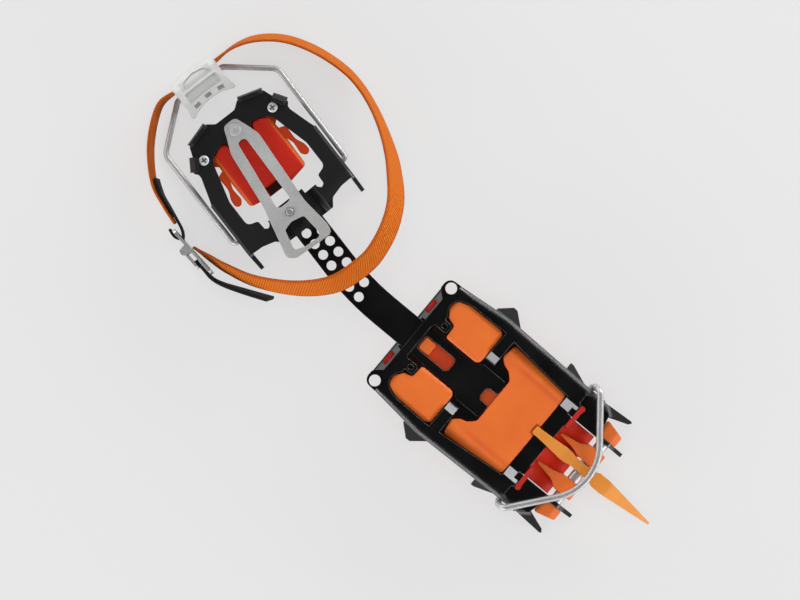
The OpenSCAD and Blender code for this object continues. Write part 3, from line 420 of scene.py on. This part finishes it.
bands = {
    "orange": {"main": (0.66, 0.165, 0.007), "deep": (0.36, 0.055, 0.003), "thread": (0.32, 0.04, 0.003),
               "rib": 1.9 * mm, "slant": 3.4 * mm, "width": 18 * mm, "sewnAt": 12 * mm},
    "black": {"main": (0.02, 0.02, 0.021), "deep": (0.006, 0.006, 0.006), "thread": (0.05, 0.05, 0.05),
              "rib": 1.5 * mm, "slant": 2.6 * mm, "width": 17 * mm, "sewnAt": 12 * mm}}

finishes = {
    "blackSteel": blackSteelFinish(),
    "pads": padFinish(plastics),
    "blocks": blockFinish(plastics),
    "dome": domeFinish(plastics),
    "amber": amberFinish(),
    "bolt": brightFinish("brightHardware", steels["hardware"]),
    "screw": brightFinish("screwHeads", steels["screw"]),
    "pin": brightFinish("greyPin", steels["pin"]),
    "wire": brightFinish("drawnWire", steels["wire"]),
    "leaf": brightFinish("brushedLeaf", steels["leaf"]),
    "milky": milkyFinish(),
    "orangeWeb": webbingFinish("orangeWebbing", bands["orange"]),
    "blackWeb": webbingFinish("blackWebbing", bands["black"]),
}
print("finishes made:", len(finishes))

# which finish each node of the frame takes
coats = {
    "blackSteel": ["front_frame", "link_bar", "heel_plate"],
    "pads": ["front_antisnow"],
    "blocks": ["spacer_block_left", "spacer_block_right", "end_block_left", "end_block_right"],
    "dome": ["heel_antisnow"],
    "amber": ["front_point"],
    "bolt": ["point_bolt", "point_nut", "point_sleeves", "point_washer", "heel_nuts", "buckle_frame",
             "buckle_lever"],
    "screw": ["heel_screws"],
    "pin": ["adjuster_pin"],
    "leaf": ["adjuster_rivet"],
    "milky": ["heel_lever"],
}
for finish, nodes in coats.items():
    for name in nodes:
        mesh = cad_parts[name].data
        mesh.materials.clear()
        mesh.materials.append(finishes[finish])


def gridMesh(name, points, finish, uv=None):
    # a closed tube of rings: points[ring, place]; each ring closes on itself and the two ends are filled
    rings, around = points.shape[:2]
    i, k = np.meshgrid(np.arange(rings - 1), np.arange(around), indexing="ij")
    j = (k + 1) % around
    quads = np.stack([i * around + k, i * around + j, (i + 1) * around + j, (i + 1) * around + k], -1)
    faces = [tuple(q) for q in quads.reshape(-1, 4).tolist()]
    faces += [tuple(range(around - 1, -1, -1)), tuple(range((rings - 1) * around, rings * around))]
    mesh = bpy.data.meshes.new(name)
    mesh.from_pydata(points.reshape(-1, 3).tolist(), [], faces)
    mesh.materials.append(finishes[finish])
    mesh.polygons.foreach_set("use_smooth", np.ones(len(faces), bool))
    if uv is not None:
        layer = mesh.uv_layers.new(name="webUV")
        corner = np.zeros(len(mesh.loops), int)
        mesh.loops.foreach_get("vertex_index", corner)
        layer.data.foreach_set("uv", uv.reshape(-1, 2)[corner].ravel())
    mesh.update()
    piece = bpy.data.objects.new(name, mesh)
    bpy.context.scene.collection.objects.link(piece)
    return piece


def smoothRoute(route, steps):
    # a cubic through the points of a route, from each point and its neighbours; the ends repeat
    r = np.asarray(route, float)
    a, b = np.vstack([r[:1], r[:-2]]), r[:-1]
    c, d = r[1:], np.vstack([r[2:], r[-1:]])
    t = (np.arange(steps) / steps)[:, None, None]
    square, cube = 2 * a - 5 * b + 4 * c - d, 3 * b - a - 3 * c + d
    curve = 0.5 * (2 * b + (c - a) * t + square * t ** 2 + cube * t ** 3)
    return np.vstack([curve.transpose(1, 0, 2).reshape(-1, r.shape[1]), r[-1:]])


def webbing(name, spec, finish):
    # a flat band carried along its route: width stands up and leans as the route says, edges rounded over
    path = smoothRoute(spec["route"], spec["steps"])
    place, lean = path[:, :3], np.radians(path[:, 3])
    step = np.gradient(place, axis=0)
    t = step / np.linalg.norm(step, axis=1, keepdims=True)
    side = np.stack([t[:, 1], -t[:, 0], 0 * t[:, 0]], 1)
    side /= np.linalg.norm(side, axis=1, keepdims=True)
    raw = np.cos(lean)[:, None] * np.array([0, 0, 1.0]) + np.sin(lean)[:, None] * side
    up = raw - (raw * t).sum(1, keepdims=True) * t
    up /= np.linalg.norm(up, axis=1, keepdims=True)
    face = np.cross(t, up)
    angle = np.linspace(0, 2 * math.pi, spec["around"], endpoint=False)
    # a squared-off oval: |cos|^p and |sin|^p keep the faces flat and the edges round
    flat = np.sign(np.cos(angle)) * np.abs(np.cos(angle)) ** 0.16 * spec["width"] / 2
    thick = np.sign(np.sin(angle)) * np.abs(np.sin(angle)) ** 0.55 * spec["thick"] / 2
    ring = place[:, None] + flat[None, :, None] * up[:, None] + thick[None, :, None] * face[:, None]
    run = np.concatenate([[0], np.cumsum(np.linalg.norm(np.diff(place, axis=0), axis=1))]) * mm
    uv = np.stack(np.broadcast_arrays(run[:, None], (flat * mm)[None]), -1)
    piece = gridMesh(name, heelToRow(ring), finish, uv)
    return piece, heelToRow(place), run[-1]


# routes are points behind the heel's origin, each with the band's lean in degrees
root = (heelPlace["leverAxis"][0] - 6.2, heelPlace["leverHalf"] + 0.35, heelPlace["leverAxis"][1])
strapLongSpec = {
    "width": 18, "thick": 2.0, "steps": 12, "around": 40,
    "route": [
        (root[0], root[1], root[2], 0), (root[0], 34, root[2], 8), (-109, 50, -34, 16), (-97, 65, -34.5, 18),
        (-79, 76.5, -34.5, 18), (-58, 84, -34, 17), (-40, 86, -32, 15), (-19, 83.5, -28, 15),
        (3, 77, -20.5, 20), (20, 69, -9.5, 27), (38, 56.5, 4, 35), (50, 41.5, 10, 42), (58, 23, 11, 44),
        (59.5, 8, 10, 45), (58, -8, 9, 42), (51, -23, 6.5, 35), (39, -38, -1, 27), (21.5, -53, -13, 20),
        (3, -63, -24, 15), (-10, -68, -30, 9), (-21, -71.5, -32, 0)]}
strapShortSpec = {
    "width": 18, "thick": 2.0, "steps": 12, "around": 40,
    "route": [
        (root[0], -root[1], root[2], 0), (root[0] + 0.6, -30, root[2], 7), (-104, -44, -34, 9),
        (-90.5, -56.5, -34, 9), (-72.5, -67, -33, 7), (-56, -70.5, -32, 3), (-43, -72, -32, 0)]}
strapLoopSpec = {
    "width": 17, "thick": 1.6, "steps": 10, "around": 40,
    "route": [
        (-75, -63.2, -33.2, 6), (-64, -66.8, -32.5, 4), (-54, -68.2, -32, 3), (-44, -69.4, -32, 0),
        (-36, -71, -32, 0), (-31.4, -74.4, -32, 0), (-35.5, -77.7, -32, 0), (-42, -77.3, -32, 0)]}
strapTipSpec = {
    "width": 17.6, "thick": 2.4, "steps": 10, "around": 40,
    "route": [
        (-14, -76.2, -32, 0), (-6, -75.6, -32, 0), (2, -75, -32, 1), (10, -71.5, -30.5, 4),
        (22, -63.5, -27, 8), (38, -52, -22, 10)]}

strapLong, longPath, longRun = webbing("strapLong", strapLongSpec, "orangeWeb")
strapShort, _, shortRun = webbing("strapShort", strapShortSpec, "orangeWeb")
strapLoop = webbing("strapLoop", strapLoopSpec, "blackWeb")[0]
strapTip = webbing("strapTip", strapTipSpec, "blackWeb")[0]
swing = {"from": (-48, 0, -33), "to": (-112, 0, -33)}   # two points behind the heel, on the band's way from the heel to its bail
for piece, node, slot in ((strapLong, "strap_long", "orange_webbing"),
                          (strapShort, "strap_short", "orange_webbing"),
                          (strapLoop, "strap_loop", "black_webbing")):
    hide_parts(node)
    tuple(heelToRow(swing["from"]))
    tuple(heelToRow(swing["to"]))
    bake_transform(piece)
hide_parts("strap_tip")
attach(strapTip, "heel_section")
strapLongSpec["width"] * mm
print("straps laid: %.0f and %.0f mm" % (longRun * 1000, shortRun * 1000))


def bentRoute(corners, steps):
    # straight runs joined by arcs: at each corner a circle of its own radius touches both runs
    pts = np.asarray(corners, float)
    place, lines = pts[:, :3], [pts[:1, :3]]
    for before, here, after, radius in zip(place[:-2], place[1:-1], place[2:], pts[1:-1, 3]):
        a = (before - here) / np.linalg.norm(before - here)
        b = (after - here) / np.linalg.norm(after - here)
        half = math.acos(float(a @ b)) / 2
        middle = here + (a + b) / np.linalg.norm(a + b) * radius / math.sin(half)
        start = here + a * radius / math.tan(half) - middle
        turn = np.linspace(0, math.pi - 2 * half, steps)[:, None]
        lines.append(middle + np.cos(turn) * start - np.sin(turn) * radius * a)
    return np.vstack(lines + [place[-1:]])


def wireTube(name, spec):
    # a circle carried along the bent route: one cross axis is the spec's own direction made square to the
    # wire, the other completes it, and the two cut ends are drawn in to a small chamfer
    half = spec["corners"]
    path = bentRoute(half + [(x, -y, z, r) for x, y, z, r in half[::-1] if y], spec["steps"])
    along = np.gradient(path, axis=0)
    t = along / np.linalg.norm(along, axis=1, keepdims=True)
    inset = spec["chamfer"] * t
    path = np.vstack([path[:1], path[:1] + inset[:1], path[1:-1], path[-1:] - inset[-1:], path[-1:]])
    t = np.vstack([t[:1], t, t[-1:]])
    lie = np.asarray(spec["lie"], float)
    first = lie - (t @ lie)[:, None] * t
    first /= np.linalg.norm(first, axis=1, keepdims=True)
    second = np.cross(t, first)
    radius = np.full(len(path), spec["radius"])
    radius[[0, -1]] -= spec["chamfer"]
    angle = np.linspace(0, 2 * math.pi, spec["around"], endpoint=False)
    ring = path[:, None] + radius[:, None, None] * (np.cos(angle)[None, :, None] * first[:, None]
                                                    + np.sin(angle)[None, :, None] * second[:, None])
    piece = gridMesh(name, spec["put"](ring), "wire")
    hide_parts(spec["node"])
    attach(piece, spec["body"])


bailDroop = {"pivot": (-6, -8), "angle": math.radians(13.8)}


def bailToRow(pts):
    # the heel bail's own plane, tipped down about its pivot, then set behind the heel
    c, s = math.cos(bailDroop["angle"]), math.sin(bailDroop["angle"])
    x = bailDroop["pivot"][0] + pts[..., 0] * c - pts[..., 2] * s
    z = bailDroop["pivot"][1] + pts[..., 0] * s + pts[..., 2] * c
    return heelToRow(np.stack([x, pts[..., 1], z], -1))


# corners of each wire on its left half: x, y, z and the bend's radius
wires = {
    "frontBail": {"node": "front_bail", "body": "toe_bail", "radius": 2.28, "chamfer": 0.5, "steps": 24,
                  "around": 36, "lie": (-0.86, 0, 0.5), "put": lambda pts: pts * mm,
                  "corners": [(113, 43.8, -7, 0), (113, 51.6, -7, 3.6), (118.5, 51.6, 2.2, 4.4),
                              (160, 0, -1.5, 36)]},
    "heelBail": {"node": "heel_bail", "body": "rear_bail", "radius": 1.98, "chamfer": 0.5, "steps": 24,
                 "around": 36, "lie": (0, 0, 1), "put": bailToRow,
                 "corners": [(0, 39, 0, 0), (0, 48, 0, 2.6), (-79.8, 48.6, 0, 9), (-105, 19.5, 0, 3)]},
}
for name, wire in wires.items():
    wireTube(name, wire)

# the adjuster's leaf: a joined copy of its solid, cut across at even steps from behind the rivet to ahead of
# the pin
leafSpec = {"from": -72, "to": 28, "every": 2.5, "rivet": (-60, 0, 0), "pin": (-9, 0, 0)}
leafForm = bmesh.new()
leafForm.from_mesh(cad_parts["adjuster_spring"].data)
bmesh.ops.remove_doubles(leafForm, verts=leafForm.verts, dist=0.002 * mm)
for cut in np.arange(leafSpec["from"], leafSpec["to"], leafSpec["every"]):
    whole = leafForm.verts[:] + leafForm.edges[:] + leafForm.faces[:]
    bmesh.ops.bisect_plane(leafForm, geom=whole, dist=1e-7, plane_co=heelToRow((cut, 0, 0)),
                           plane_no=(heelPlace["cos"], -heelPlace["sin"], 0))
leafMesh = bpy.data.meshes.new("adjusterLeaf")
leafForm.to_mesh(leafMesh)
leafForm.free()
leafMesh.materials.append(finishes["leaf"])
adjusterLeaf = bpy.data.objects.new("adjusterLeaf", leafMesh)
bpy.context.scene.collection.objects.link(adjusterLeaf)
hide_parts("adjuster_spring")
tuple(heelToRow(leafSpec["rivet"]))
tuple(heelToRow(leafSpec["pin"]))
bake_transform(adjusterLeaf)
print("wires bent, leaf cut:", len(leafMesh.polygons), "faces")

stageSpec = {"level": -45.2 * mm, "half": 4.0, "tone": 0.791, "glow": 0.72}
h, low = stageSpec["half"], stageSpec["level"]
floorMesh = bpy.data.meshes.new("floor")
floorMesh.from_pydata([(-h, -h, low), (h, -h, low), (h, h, low), (-h, h, low)], [], [(0, 1, 2, 3)])
floor = bpy.data.objects.new("floor", floorMesh)
bpy.context.scene.collection.objects.link(floor)


def floorFinish():
    # a pale sheet that the camera and mirrors see partly lit from within: it stays even and keeps the shadow
    f = Finish("paleSheet", Base_Color=(0.8, 0.8, 0.8, 1), Roughness=0.9, Specular_IOR_Level=0.0)
    seen = f.add("ShaderNodeLightPath", {}, {})
    glow = f.add("ShaderNodeEmission", {}, {"Color": (stageSpec["tone"],) * 3 + (1,), "Strength": 1.0})
    looks = (Value(f, seen.outputs["Is Camera Ray"]) + Value(f, seen.outputs["Is Glossy Ray"])
             + Value(f, seen.outputs["Is Transmission Ray"])).clip(0, 1)
    both = f.add("ShaderNodeMixShader", {},
                 {0: looks * stageSpec["glow"], 1: f.shader.outputs["BSDF"], 2: glow.outputs["Emission"]})
    f.put(f.tree.nodes["Material Output"].inputs["Surface"], both.outputs["Shader"])
    return f.data


floorMesh.materials.append(floorFinish())

# the room: a bright low horizon, dark overhead, so that level steel stays black and its folds catch the light
roomSpec = {"strength": 2.5, "seen": 0.791,
            "stops": [(0.0, 2.4), (0.12, 2.0), (0.3, 0.7), (0.6, 0.4), (0.82, 0.13), (0.93, 0.035),
                      (1.0, 0.025)]}
world = bpy.data.worlds.new("softRoom")
world.use_nodes = True
bpy.context.scene.world = world
room = Nodes(world.node_tree)
ray = room.add("ShaderNodeTexCoord", {}, {})
height = room.add("ShaderNodeSeparateXYZ", {}, {"Vector": ray.outputs["Generated"]})
tones = [(place, (tone / roomSpec["strength"],) * 3) for place, tone in roomSpec["stops"]]
ramp = room.add("ShaderNodeValToRGB", {"stops": tones}, {"Fac": height.outputs["Z"]})
path = room.add("ShaderNodeLightPath", {}, {})
backdrop = (roomSpec["seen"] / roomSpec["strength"],) * 3
sky = world.node_tree.nodes["Background"]
room.put(sky.inputs["Color"], room.mix(path.outputs["Is Camera Ray"], ramp.outputs["Color"], backdrop))
room.put(sky.inputs["Strength"], roomSpec["strength"])

# long soft boxes low on both sides of the foot, smaller ones ahead and behind, and a broad one overhead that
# fills the hollows and leaves no glare on level steel
lampAim = np.array([-0.03, 0.01, -0.01])
lamps = {
    "leftStrip": {"at": (0.0, 1.4, 0.45), "size": (1.5, 0.35), "power": 11.5, "glare": True},
    "rightStrip": {"at": (-0.1, -1.4, 0.45), "size": (1.5, 0.35), "power": 9.0, "glare": True},
    "toeStrip": {"at": (1.45, 0.1, 0.45), "size": (0.9, 0.3), "power": 4.8, "glare": True},
    "heelStrip": {"at": (-1.6, 0.15, 0.45), "size": (0.9, 0.3), "power": 4.8, "glare": True},
    "overhead": {"at": (-0.03, 0.01, 1.9), "size": (1.4, 1.4), "power": 13.5, "glare": False},
}
for name, lamp in lamps.items():
    data = bpy.data.lights.new(name, "AREA")
    data.shape, data.energy = "RECTANGLE", lamp["power"]
    data.size, data.size_y = lamp["size"]
    light = bpy.data.objects.new(name, data)
    light.location, light.visible_glossy = lamp["at"], lamp["glare"]
    aim = lampAim - np.array(lamp["at"])
    tilt = math.atan2(math.hypot(aim[0], aim[1]), -aim[2])
    light.rotation_euler = (tilt, 0, math.atan2(aim[0], -aim[1]) + math.pi)
    bpy.context.scene.collection.objects.link(light)
print("floor and lamps set")
